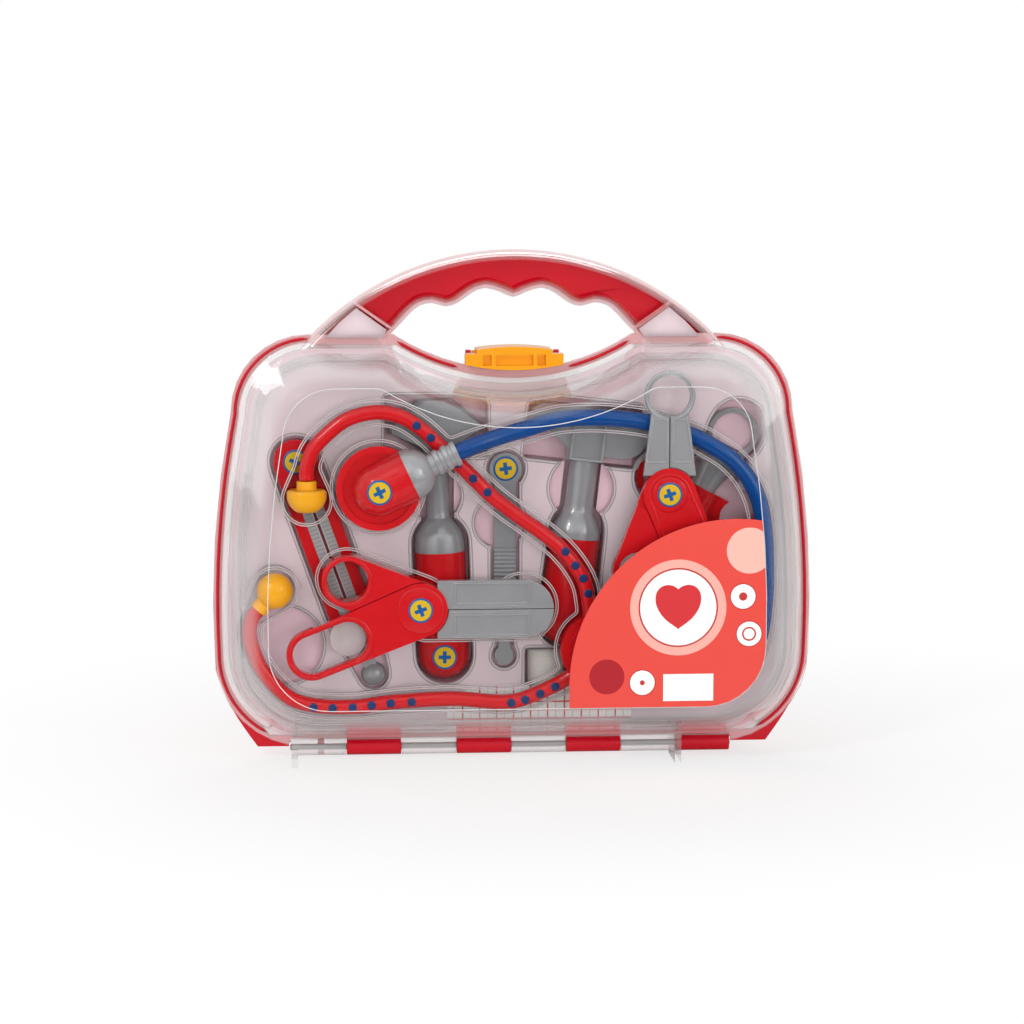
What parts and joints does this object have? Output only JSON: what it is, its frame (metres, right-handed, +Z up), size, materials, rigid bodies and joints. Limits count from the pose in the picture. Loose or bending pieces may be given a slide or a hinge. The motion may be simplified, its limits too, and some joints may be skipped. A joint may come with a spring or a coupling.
{
  "type": "toy doctor case",
  "caption": "Toy doctor case with a clear front cover, a red back shell, a carrying handle, a latch and trays of toy medical instruments.",
  "frame": {"origin": "middle of the case's width and depth, on the ground under its foot fins", "axes": "+X to the right seen from the clear front, the front faces -Y, +Z up; the two halves meet at Y = 0"},
  "size_m": [0.29, 0.0763, 0.2455],
  "materials": {
    "red_case": "opaque moulded plastic, glossy",
    "clear_case": "clear moulded plastic, polished",
    "steel": "plain steel rod, knurled at the ends",
    "yellow_plastic": "moulded plastic, glossy",
    "frosted_sheet": "thermoformed translucent sheet",
    "clear_sheet": "thermoformed clear sheet",
    "printed_label": "printed film",
    "printed_card": "printed card",
    "red_plastic": "moulded plastic, satin gloss",
    "navy_plastic": "moulded plastic",
    "yellow_soft": "soft moulded plastic",
    "blue_tube": "soft vinyl tube",
    "silver_plastic": "silver-pigmented plastic, satin",
    "printed_badge": "printed disc",
    "printed_scale": "printed grey strip",
    "gauze": "woven cotton gauze"
  },
  "bodies": {
    "case_back": {"back_shell": "red_case", "hinge_pin": "steel", "latch_pin": "steel", "rear_tray": "frosted_sheet", "front_tray": "clear_sheet", "chart_card": "printed_card", "headset_upper_arm": "red_plastic", "headset_lower_arm": "red_plastic", "arm_studs": "navy_plastic", "headset_junction": "red_plastic", "ear_tip_upper": "yellow_soft", "ear_tip_lower": "yellow_soft", "tube": "blue_tube", "chest_piece": "red_plastic", "chest_neck": "silver_plastic", "badges": "printed_badge", "scissors_handle_rear": "red_plastic", "scissors_blade_rear": "silver_plastic", "scissors_rivet": "printed_badge", "forceps_handle_rear": "red_plastic", "forceps_jaw_rear": "silver_plastic", "forceps_rivet": "printed_badge", "thermometer_body": "red_plastic", "thermometer_scale": "printed_scale", "thermometer_tip": "silver_plastic", "otoscope_head": "silver_plastic", "otoscope_handle": "red_plastic", "spatula": "silver_plastic", "hammer_head": "silver_plastic", "hammer_handle": "red_plastic", "syringe_body": "red_plastic", "bandage_roll": "gauze"},
    "cover": {"front_cover": "clear_case", "label": "printed_label"},
    "latch": {"latch": "yellow_plastic"},
    "scissors_front": {"scissors_handle_front": "red_plastic", "scissors_blade_front": "silver_plastic"},
    "forceps_front": {"forceps_handle_front": "red_plastic", "forceps_jaw_front": "silver_plastic"},
    "plunger": {"syringe_plunger": "silver_plastic"}
  },
  "joints": [
    {"name": "cover_hinge", "type": "hinge", "parent": "case_back", "child": "cover", "pos_m": [0, 0, 0.0045], "axis": [1, 0, 0], "range_deg": [0, 170]},
    {"name": "latch_hinge", "type": "hinge", "parent": "case_back", "child": "latch", "pos_m": [0, 0.007, 0.1944], "axis": [-1, 0, 0], "range_deg": [0, 100]},
    {"name": "scissors_pivot", "type": "hinge", "parent": "case_back", "child": "scissors_front", "pos_m": [-0.0457, -0.019, 0.0744], "axis": [0, -1, 0], "range_deg": [0, 22]},
    {"name": "forceps_pivot", "type": "hinge", "parent": "case_back", "child": "forceps_front", "pos_m": [0.0737, -0.019, 0.129], "axis": [0, -1, 0], "range_deg": [0, 10]},
    {"name": "plunger_slide", "type": "slide", "parent": "case_back", "child": "plunger", "axis": [0.4772, 0, 0.8788], "range_m": [0, 0.004]}
  ]
}
